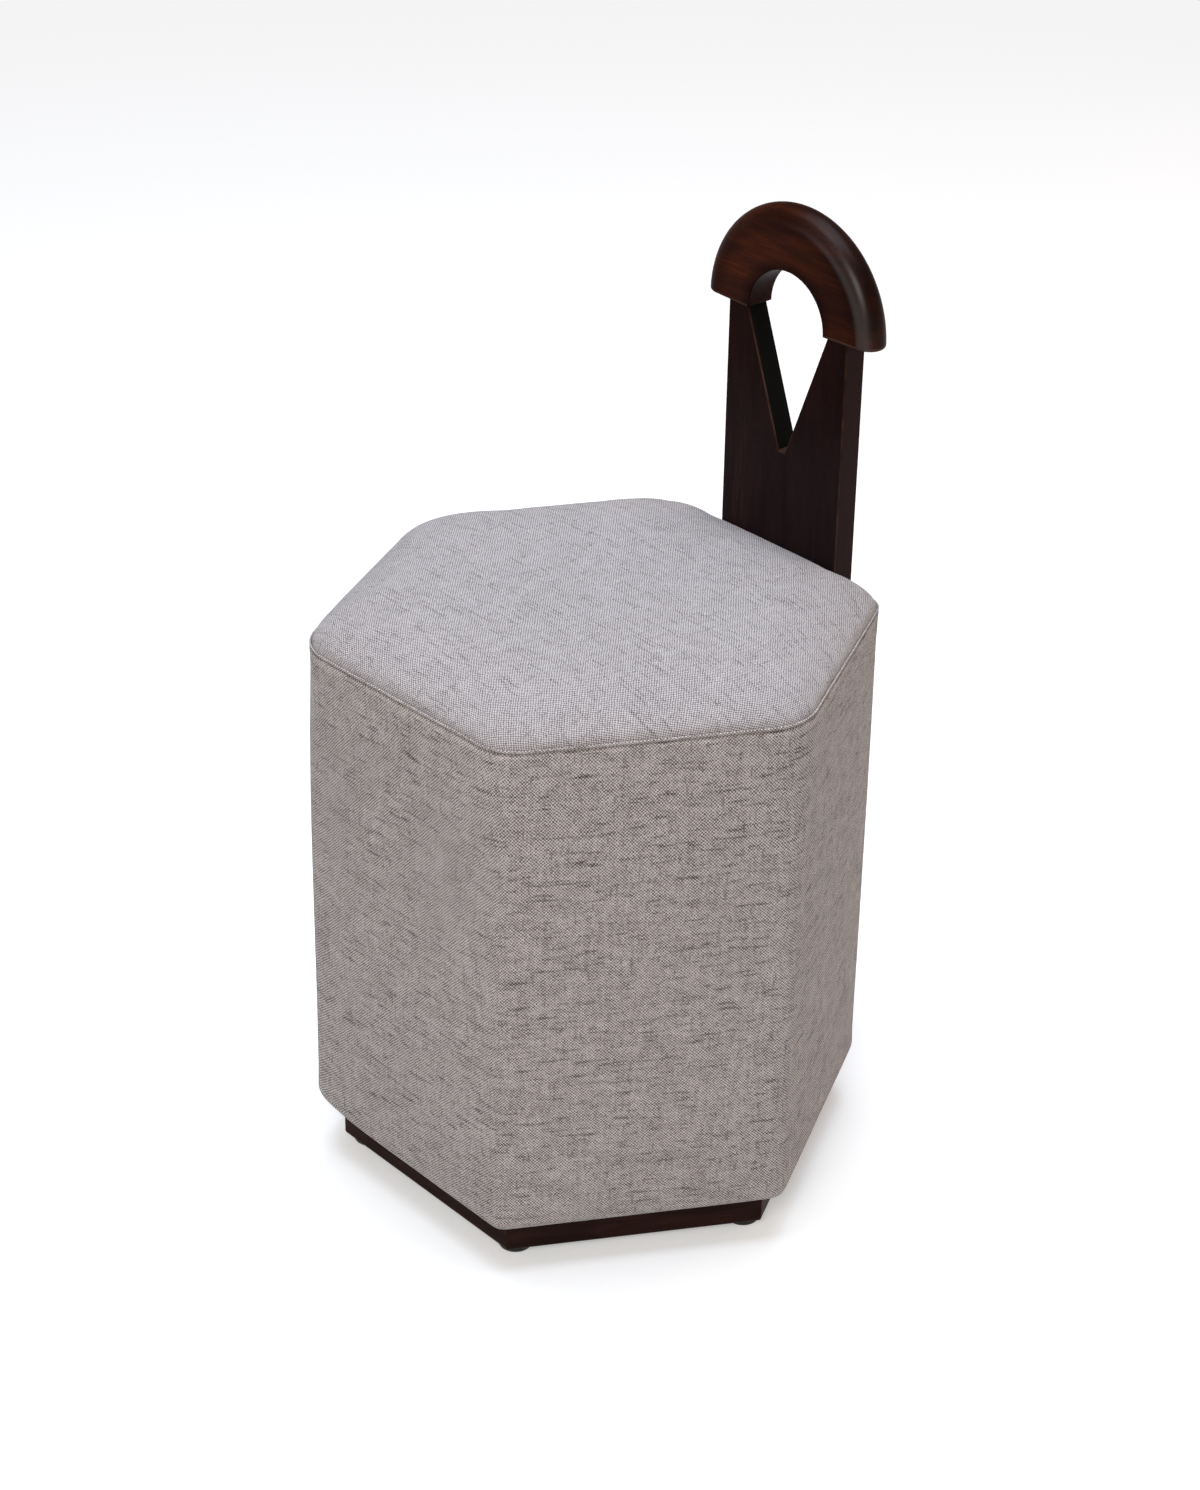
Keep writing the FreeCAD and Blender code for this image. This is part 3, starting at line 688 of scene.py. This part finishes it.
thick = weave_calc("MULTIPLY", weft_slub, 0.5)
warp_share = weave_ramp(weave_calc("SUBTRACT", weave_calc("ADD", over, uneven), thick), -0.45, 0.45)
slubbed = weave_calc("MULTIPLY", warp_slub, 0.6)
warp_yarn = mix_colours(weave_tree, slubbed, weave_in["Warp"], weave_in["Weft"])
weft_yarn = mix_colours(weave_tree, weft_slub, weave_in["Weft"], weave_in["Slub"])
relief = weave_calc("ADD", weave_calc("ABSOLUTE", over), weave_calc("MULTIPLY", weft_slub, 0.4))
wire(weave_tree, mix_colours(weave_tree, warp_share, weft_yarn, warp_yarn), weave_out["Color"])
wire(weave_tree, weave_ramp(over, -1.0, 1.0, 0.95, 0.8), weave_out["Roughness"])
wire(weave_tree, relief, weave_out["Height"])

SLUB_BROWN = (0.058, 0.044, 0.038, 1.0)
WARP_PALE = (0.620, 0.570, 0.550, 1.0)
WEFT_GREY = (0.130, 0.107, 0.097, 1.0)
WEAVE_DEPTH, WEAVE_STRENGTH = 0.25 * MM, 0.6
GROOVE_PAINTED_SHADE, RIDGE_PAINTED_HIGHLIGHT = 0.6, 1.4


def attribute(tree, name):
    """A value stored on the piece itself."""
    return add_node(tree, "ShaderNodeAttribute", attribute_name=name).outputs["Fac"]


def slubby_linen(name, warp, weft, unevenness):
    """The cloth, with painted light at the fold of its seam: the ridge lighter, partly stretched cloth and
    partly a painted highlight, and painted shade in the groove.
    """
    linen, tree, shader = new_material(name, Specular_IOR_Level=0.1, Sheen_Weight=0.12, Sheen_Roughness=0.5)
    cut_cloth = add_node(tree, "ShaderNodeUVMap", uv_map="cloth").outputs[0]
    weave = use_group(tree, weave_tree, Place=cut_cloth, Warp=warp, Weft=weft, Slub=SLUB_BROWN,
                      Unevenness=unevenness)
    fold_painted_light = attribute(tree, "fold")
    limits = {"Value": fold_painted_light, "From Min": -1.0, "To Min": GROOVE_PAINTED_SHADE, "To Max": RIDGE_PAINTED_HIGHLIGHT}
    seam_painted_light = add_node(tree, "ShaderNodeMapRange", limits).outputs[0]
    wire(tree, mix_colours(tree, 1.0, weave["Color"], seam_painted_light, "MULTIPLY"), shader["Base Color"])
    wire(tree, weave["Roughness"], shader["Roughness"])
    wire(tree, bump(tree, weave["Height"], WEAVE_DEPTH, WEAVE_STRENGTH), shader["Normal"])
    return linen


linen = slubby_linen("slubby_linen", WARP_PALE, WEFT_GREY, 0.9)
finish_piece(band, linen, "cover_cloth", "cover_band", *(f"side_padding_{side}" for side in SIDES))


# Seat: a six-sided panel of the same cloth, in a copy with painted sheen, drawn over a crowned foam block
# and sewn in under the fold.
# It is cut flat, so the weave runs straight across it and dips over the soft shoulder.
SEAT_CUTS = 31
CROWN_SWELL = 7.5 * MM
CROWN_RISE = SEAT_TOP - SEAM + CROWN_SWELL
SHOULDER_POWER, SHOULDER_ROUND = 10, 1.3
CORNER_EASE = 1.2
SEAM_STEP = 0.6 * MM
SEAT_EDGE = BODY - SEAM_STEP
EDGE_STEPS = 400
TUCK_BEND, TUCK_END = 3 * MM, 8 * MM
SEWN_RISE = 1 * MM
SEAT_PRESSURE, SEAT_SWELL = 3.0, 2.5 * MM


def crown(apothem):
    """How far up the seat has come from the seam (0) to its crown (1) at a distance from the axis."""
    return max(1 - (apothem / SEAT_EDGE) ** SHOULDER_POWER, 0) ** (1 / SHOULDER_ROUND)


reaches = [SEAT_EDGE * step / EDGE_STEPS for step in range(EDGE_STEPS + 1)]
section = [(reach, SEAM + CROWN_RISE * crown(reach)) for reach in reaches]
section.append((SEAT_EDGE, SEAM - TUCK_BEND))
section += [(INSIDE - SLACK, SEAM - TUCK_END), (INSIDE - SLACK, FOAM_BOTTOM + SLACK)]
lengths = [0.0]
for (a0, z0), (a1, z1) in zip(section, section[1:]):
    lengths.append(lengths[-1] + math.hypot(a1 - a0, z1 - z0))


def along_section(length):
    """Distance from the axis and height of the seat at a length of cloth from its middle."""
    length = min(length, lengths[-1])
    step = next(number for number, reach in enumerate(lengths) if reach >= length)
    if step == 0:
        return section[0]
    share = (length - lengths[step - 1]) / (lengths[step] - lengths[step - 1])
    ends = zip(section[step - 1], section[step])
    return tuple(first + (second - first) * share for first, second in ends)


bpy.ops.object.select_all(action="DESELECT")
panel_radius = lengths[-1] / math.cos(math.radians(30))
bpy.ops.mesh.primitive_circle_add(
    vertices=len(SIDES), radius=panel_radius, fill_type="TRIFAN", rotation=(0, 0, math.radians(30)))
seat = start("seat_cover")
edit(seat)
bpy.ops.mesh.select_all(action="SELECT")
bpy.ops.mesh.subdivide(number_cuts=SEAT_CUTS)
done(seat)
seat_axis = Vector((0, AXIS_Y, 0))
seat_uv, sewn = [], []
for vertex in seat.data.vertices:
    flat = vertex.co.copy()
    side = math.floor(math.atan2(-flat.x, flat.y) / SIDE_TURN + 0.5)
    turn = side * SIDE_TURN
    out = -flat.x * math.sin(turn) + flat.y * math.cos(turn)
    across = -flat.x * math.cos(turn) - flat.y * math.sin(turn)
    share = across / (out * HALF_SIDE) if out > 0 else 0.0
    apothem, z = along_section(out)
    corner = at_corner(SEAM_CORNERS, side, share) + CORNER_EASE * (SEAT_EDGE - apothem)
    set_in = BACK_SET_IN * apothem / SEAT_EDGE
    vertex.co = on_ring(apothem, set_in, corner, side, share) if apothem > 0 else seat_axis
    outwards = (vertex.co - seat_axis).normalized()
    seat_uv.append(vertex.co + outwards * (out - apothem))
    vertex.co.z = z + seam_rise(side, share) * (1 - crown(apothem))
    if z < SEAM + SEWN_RISE and apothem > BODY / 2:
        sewn.append(vertex.index)
set_uv(seat, seat_uv)
inflate(seat, sewn, SEAT_PRESSURE, SEAT_SWELL)
subdivide(seat, 2)
clear_of_splat(seat)
edit(seat)
pick(seat, "EDGE", lambda edge: edge.is_boundary)
bpy.ops.mesh.edge_face_add()
done(seat, 60)
# The seat's copy of the cloth has a lighter weft, a slightly darker warp and fainter slubs: painted sheen,
# the veil that the light from above lays over the top.
SEAT_WARP_PAINTED_SHEEN = (0.580, 0.540, 0.530, 1.0)
SEAT_WEFT_PAINTED_SHEEN = (0.180, 0.158, 0.154, 1.0)
seat_linen_painted_sheen = slubby_linen("seat_linen_painted_sheen", SEAT_WARP_PAINTED_SHEEN, SEAT_WEFT_PAINTED_SHEEN, 0.55)
finish_piece(seat, seat_linen_painted_sheen, "cover_cloth", "cover_top", "seat_foam")


# Splat: a flat plank of dark-stained hardwood with a V notch sawn in its top, bolted to the body's back.
# Its edges are lightly eased, and the stain is rubbed through in fine lines along them.
def note_rub_and_highlight(piece):
    """Mark the faces just selected as lighter edges: rubbed stain, and on the crest's feet partly a painted
    highlight along the eased edge.
    """
    rub_and_highlight = piece.data.attributes.new("rub_and_highlight", "FLOAT", "FACE")
    for face in piece.data.polygons:
        rub_and_highlight.data[face.index].value = float(face.select)


def harden(piece):
    """Keep flat faces flat beside their eased edges."""
    bpy.context.view_layer.objects.active = piece
    weighted = piece.modifiers.new("weighted", "WEIGHTED_NORMAL")
    bpy.ops.object.modifier_apply(modifier=weighted.name)


rub_and_highlight_tree, rub_and_highlight_in, rub_and_highlight_out = new_group(
    "rubbed_stain_and_highlight",
    {"Color": "Color", "Place": "Vector", "Rubbed": "Color", "Rub": "Float"},
    {"Color": "Color"},
)
patchy = ramp(rub_and_highlight_tree, clouds(rub_and_highlight_tree, rub_and_highlight_in["Place"], 25.0, 3.0, 0.6), 0.35, 0.65, 0.15, 0.8)
worn_and_lit_share = calc(rub_and_highlight_tree, "MULTIPLY", rub_and_highlight_in["Rub"], patchy)
wire(rub_and_highlight_tree, mix_colours(rub_and_highlight_tree, worn_and_lit_share, rub_and_highlight_in["Color"], rub_and_highlight_in["Rubbed"]), rub_and_highlight_out["Color"])


def paint_rub_and_highlight(tree, shader, colour, place, rubbed):
    """Let the lighter wood show through the stain along the marked edges; on the crest's feet this is partly
    a painted highlight.
    """
    worn_and_lit = use_group(tree, rub_and_highlight_tree, Color=colour, Place=place, Rubbed=rubbed, Rub=attribute(tree, "rub_and_highlight"))
    wire(tree, worn_and_lit["Color"], shader["Base Color"])


SPLAT_BACK = level("back_splat", 1, 1)
CREST_BASE = level("back_splat", 1, 2)
NOTCH_HALF = 41.5 * MM
NOTCH_DEPTH = 113 * MM
NOTCH_FOOT = 6 * MM
SPLAT_EASE = 1.0 * MM
SHARP_ANGLE = 0.3
TOUCH = 0.1 * MM
MERGE = 0.01 * MM


def is_sharp_edge(edge):
    """A sharp edge of the plank that the crest doesn't cover."""
    return edge.calc_face_angle(0) > SHARP_ANGLE and middle(edge).z < CREST_BASE - TOUCH


bpy.ops.object.select_all(action="DESELECT")
bpy.ops.mesh.primitive_cube_add(
    size=1,
    location=(0, (SPLAT_FACE + SPLAT_BACK) / 2, (SPLAT_FOOT + CREST_BASE) / 2),
    scale=(2 * SPLAT_HALF, SPLAT_BACK - SPLAT_FACE, CREST_BASE - SPLAT_FOOT),
)
splat = start("back_plank")
edit(splat)
apex = Vector((0, SPLAT_FACE, CREST_BASE - NOTCH_DEPTH))
foot = apex + Vector((0, 0, NOTCH_DEPTH * NOTCH_FOOT / (2 * NOTCH_HALF)))
bpy.ops.mesh.select_all(action="SELECT")
bpy.ops.mesh.bisect(plane_co=foot, plane_no=(0, 0, 1))
for hand in (-1, 1):
    pick(splat, "FACE", lambda face: middle(face).z > foot.z)
    bpy.ops.mesh.bisect(plane_co=apex, plane_no=(NOTCH_DEPTH, 0, -hand * NOTCH_HALF))


def in_notch(point):
    return point.z > foot.z and abs(point.x) < (point.z - apex.z) / NOTCH_DEPTH * NOTCH_HALF - TOUCH


pick(splat, "FACE", lambda face: in_notch(middle(face)))
bpy.ops.mesh.delete(type="FACE")
pick(splat, "EDGE", lambda edge: edge.is_boundary and abs(middle(edge).z - foot.z) < TOUCH)
bpy.ops.mesh.edge_face_add()
for hand in (-1, 1):
    pick(splat, "EDGE", lambda edge: edge.is_boundary and middle(edge).x * hand > NOTCH_FOOT / 3)
    bpy.ops.mesh.edge_face_add()
bpy.ops.mesh.select_all(action="SELECT")
bpy.ops.mesh.remove_doubles(threshold=MERGE)
bpy.ops.mesh.normals_make_consistent(inside=False)
bpy.ops.mesh.dissolve_limited(angle_limit=math.radians(1))
pick(splat, "EDGE", is_sharp_edge)
bpy.ops.mesh.bevel(offset=SPLAT_EASE, segments=3, affect="EDGES")
bpy.ops.object.mode_set(mode="OBJECT")
note_rub_and_highlight(splat)
notch_wall = splat.data.attributes.new("notch_wall", "FLOAT", "FACE")
side_edge = splat.data.attributes.new("side_edge", "FLOAT", "FACE")
for face in splat.data.polygons:
    inside = abs(face.center.x) < NOTCH_HALF and face.center.z > apex.z
    notch_wall.data[face.index].value = float(inside and abs(face.normal.y) < 0.1)
    side_edge.data[face.index].value = float(abs(face.normal.x) > 0.99)
edit(splat)
harden(done(splat))

SPLAT_DARK = (0.0135, 0.0088, 0.0100, 1.0)
SPLAT_LIGHT = (0.043, 0.0200, 0.0185, 1.0)
HORN_STAIN_AND_SHADE = (0.55, 0.28, 0.25, 1.0)
HORN_FROM, HORN_TO = apex.z - 30 * MM, CREST_BASE - 20 * MM
NOTCH_BLACK = (0.0062, 0.0062, 0.0056, 1.0)
EDGE_BROWN = (0.032, 0.0175, 0.0170, 1.0)
EDGE_SHARE = 0.75
RUBBED_BROWN_AND_HIGHLIGHT = (0.075, 0.034, 0.022, 1.0)
plank_wood, tree, shader, grain, place = stained_wood("plank_wood", SPLAT_DARK, SPLAT_LIGHT, 0.9, UPRIGHT)
height = add_node(tree, "ShaderNodeSeparateXYZ", {"Vector": object_place(tree)}).outputs["Z"]
# The horns are darker and redder towards the crest: partly a redder stain, partly painted shade under the
# crest.
horn_stain_and_shade = mix_colours(tree, 1.0, grain["Color"], HORN_STAIN_AND_SHADE, "MULTIPLY")
stained = mix_colours(tree, ramp(tree, height, HORN_FROM, HORN_TO), grain["Color"], horn_stain_and_shade)
stained = mix_colours(tree, attribute(tree, "notch_wall"), stained, NOTCH_BLACK)
edge_share = calc(tree, "MULTIPLY", attribute(tree, "side_edge"), EDGE_SHARE)
stained = mix_colours(tree, edge_share, stained, EDGE_BROWN)
paint_rub_and_highlight(tree, shader, stained, place, RUBBED_BROWN_AND_HIGHLIGHT)
finish_piece(splat, plank_wood, "dark_wood", "back_splat")


# Crest: a half ring of the same hardwood, dowelled across the two horns of the splat to close the keyhole.
# Its outer edge is a full round and its grain lies level; its faces are lighter and redder in the middle,
# and darker towards the keyhole, the outer edge and the right leg.
CREST_FRONT, CREST_BACK = level("crest_arch", 0, 1), level("crest_arch", 1, 1)
CREST_MIDDLE = (CREST_FRONT + CREST_BACK) / 2
CREST_OUTER = level("crest_arch", 1, 2) - CREST_BASE
CREST_INNER = 38.5 * MM
CREST_HALF = (CREST_BACK - CREST_FRONT) / 2
KEYHOLE_EASE = 1.2 * MM
FOOT_EASE = 3.0 * MM
CREST_STEPS = 72
NOSE_STEPS = 12
NOSE_MERGE = 0.05 * MM
ring_centre = (0, CREST_MIDDLE, CREST_BASE)
bpy.ops.object.select_all(action="DESELECT")
section_middle = ((CREST_INNER + CREST_OUTER) / 2, CREST_MIDDLE, CREST_BASE)
bpy.ops.mesh.primitive_plane_add(size=1, location=section_middle)
bpy.ops.transform.resize(value=(CREST_OUTER - CREST_INNER, 2 * CREST_HALF, 1))
crest = start("crest_arch_ring")
edit(crest)
pick(crest, "VERT", lambda vertex: vertex.co.x > CREST_OUTER - MM)
bpy.ops.mesh.bevel(offset=CREST_HALF, segments=NOSE_STEPS, affect="VERTICES", clamp_overlap=False)
pick(crest, "VERT", lambda vertex: vertex.co.x < CREST_INNER + MM)
bpy.ops.mesh.bevel(offset=KEYHOLE_EASE, segments=3, affect="VERTICES")
bpy.ops.mesh.select_all(action="SELECT")
bpy.ops.mesh.remove_doubles(threshold=NOSE_MERGE)
bpy.ops.mesh.spin(steps=CREST_STEPS, angle=math.pi, center=ring_centre, axis=(0, 1, 0))
bpy.ops.mesh.select_all(action="SELECT")
bpy.ops.mesh.remove_doubles(threshold=MERGE)
pick(crest, "EDGE", lambda edge: edge.is_boundary)
bpy.ops.mesh.edge_face_add()
bpy.ops.mesh.select_all(action="SELECT")
bpy.ops.mesh.normals_make_consistent(inside=False)


def is_foot_edge(edge):
    """An edge of the crest's two flat feet, apart from those at the keyhole."""
    at_foot = all(abs(vertex.co.z - CREST_BASE) < MERGE for vertex in edge.verts)
    past_keyhole = abs(middle(edge).x) > CREST_INNER + KEYHOLE_EASE - TOUCH
    return at_foot and past_keyhole and len(edge.link_faces) == 2


pick(crest, "EDGE", is_foot_edge)
bpy.ops.mesh.bevel(offset=FOOT_EASE, segments=4, affect="EDGES")
bpy.ops.object.mode_set(mode="OBJECT")
# The crest's eased foot edges are painted lighter: partly rubbed stain, partly a painted highlight where the
# eased edge catches the light.
note_rub_and_highlight(crest)
edit(crest)
harden(done(crest))

CREST_DARK = (0.0175, 0.0052, 0.0036, 1.0)
CREST_RED = (0.105, 0.023, 0.0075, 1.0)
crest_wood, tree, shader, grain, place = stained_wood(
    "crest_wood", CREST_DARK, CREST_RED, 1.0, (0, 0, 0), ring_centre)
ring_place = add_node(tree, "ShaderNodeMapping", {"Vector": place, "Scale": (1, 0, 1)}).outputs[0]
from_middle = add_node(tree, "ShaderNodeVectorMath", {0: ring_place}, operation="LENGTH").outputs["Value"]
across = add_node(tree, "ShaderNodeSeparateXYZ", {"Vector": place}).outputs["X"]


def before_edge(deep, shallow, to_deep, to_shallow):
    """A step between two depths, in millimetres inwards from the crest's outer edge."""
    return ramp(tree, from_middle, CREST_OUTER - deep * MM, CREST_OUTER - shallow * MM, to_deep, to_shallow)


inner_rim = ramp(tree, from_middle, CREST_INNER + 1 * MM, CREST_INNER + 12 * MM, 0.45, 1.0)
outer_rim = before_edge(26, 12, 1.0, 0.6)
right_leg = ramp(tree, across, -30 * MM, 60 * MM, 1.15, 0.62)
face_tone = calc(tree, "MULTIPLY", calc(tree, "MULTIPLY", inner_rim, outer_rim), right_leg)
toned = mix_colours(tree, 1.0, grain["Color"], face_tone, "MULTIPLY")
paint_rub_and_highlight(tree, shader, toned, place, RUBBED_BROWN_AND_HIGHLIGHT)
handled = ramp(tree, across, -10 * MM, 50 * MM, 0.04, 0.75)
polish = calc(tree, "MULTIPLY", before_edge(16, 9, 0.01, handled), before_edge(6, 1, 1.0, 0.25))
wire(tree, polish, shader["Coat Weight"])
finish_piece(crest, crest_wood, "dark_wood", "crest_arch")

BEECH_DARK = (0.48, 0.30, 0.17, 1)
BEECH_PALE = (0.60, 0.41, 0.25, 1)
dress(nodes_named("crest_dowels"), pale_wood("dowel_beech", BEECH_DARK, BEECH_PALE, UPRIGHT))


# Studio: a pale floor, a broad cool light overhead, a warmer one beside the camera, a low one that fills the
# right-hand side and isn't mirrored in the lacquer, and a dim even room.
# The camera stands where the photograph was taken from.
FLOOR_HALF = 60.0
PAPER_SHADE = (0.86, 0.87, 0.865, 1)
PAPER_WHITE = (0.88, 0.885, 0.88, 1)
NEAR_GLOW, FAR_GLOW = 0.35, 0.80
GLOW_FROM, GLOW_TO = 0.4, 7.0
bpy.ops.object.select_all(action="DESELECT")
bpy.ops.mesh.primitive_plane_add(size=2 * FLOOR_HALF)
floor = start("studio_floor")
paper, tree, shader = new_material("white_paper", Specular_IOR_Level=0.0, Roughness=1.0)
place = object_place(tree)
wire(tree, mix_colours(tree, clouds(tree, place, 60.0), PAPER_SHADE, PAPER_WHITE), shader["Base Color"])
rays = tree.nodes.new("ShaderNodeLightPath").outputs
mirrored = calc(tree, "MAXIMUM", rays["Is Glossy Ray"], rays["Is Transmission Ray"])
seen = calc(tree, "MAXIMUM", rays["Is Camera Ray"], mirrored)
away = add_node(tree, "ShaderNodeVectorMath", {0: place}, operation="LENGTH").outputs["Value"]
lift = calc(tree, "MULTIPLY", seen, ramp(tree, away, GLOW_FROM, GLOW_TO, NEAR_GLOW, FAR_GLOW))
glow = add_node(tree, "ShaderNodeEmission", {"Color": (1, 1, 1, 1), "Strength": lift}).outputs[0]
both = tree.nodes.new("ShaderNodeAddShader")
tree.links.new(tree.nodes["Principled BSDF"].outputs[0], both.inputs[0])
tree.links.new(glow, both.inputs[1])
tree.links.new(both.outputs[0], tree.nodes["Material Output"].inputs["Surface"])
dress([floor], paper)

ROOM_COLOUR = (1.0, 0.93, 0.87, 1)
ROOM_STRENGTH = 0.26
world = bpy.data.worlds.new("studio_room")
bpy.context.scene.world = world
world.use_nodes = True
room = world.node_tree.nodes["Background"].inputs
room["Color"].default_value = ROOM_COLOUR
room["Strength"].default_value = ROOM_STRENGTH


def softbox(name, place, size, watts, colour):
    """A square area light turned towards the middle of the seat."""
    lamp = bpy.data.lights.new(name, "AREA")
    lamp.size = size
    lamp.energy = watts
    lamp.color = colour
    item = bpy.data.objects.new(name, lamp)
    bpy.context.scene.collection.objects.link(item)
    item.location = place
    towards_seat = Vector((0, AXIS_Y, SEAM)) - Vector(place)
    item.rotation_euler = towards_seat.to_track_quat("-Z", "Y").to_euler()
    return item


softbox("overhead_softbox", (-0.2, 0.1, 2.7), 2.0, 72.0, (0.78, 0.86, 1.0))
softbox("front_softbox", (1.25, -1.78, 1.7), 1.0, 24.5, (1.0, 0.95, 0.91))
side_fill = softbox("side_softbox", (0.3, 2.85, 0.42), 0.75, 15.5, (1.0, 0.55, 0.18))
side_fill.visible_glossy = False

AZIMUTH, ELEVATION, ROLL = math.radians(47.804), math.radians(29.064), math.radians(0.961)
DISTANCE = 2.3954
TARGET = Vector((-0.00882, 0.00407, 0.32725))
lens = bpy.data.cameras.new("camera")
lens.lens = 77.14
lens.sensor_width = 36.0
camera = bpy.data.objects.new("camera", lens)
bpy.context.scene.collection.objects.link(camera)
aim = (Matrix.Rotation(AZIMUTH, 4, "Z") @ Matrix.Rotation(math.radians(90) - ELEVATION, 4, "X")
       @ Matrix.Rotation(ROLL, 4, "Z"))
camera.matrix_world = Matrix.Translation(TARGET + DISTANCE * aim.col[2].to_3d()) @ aim
bpy.context.scene.camera = camera
bpy.context.scene.view_settings.view_transform = "Standard"
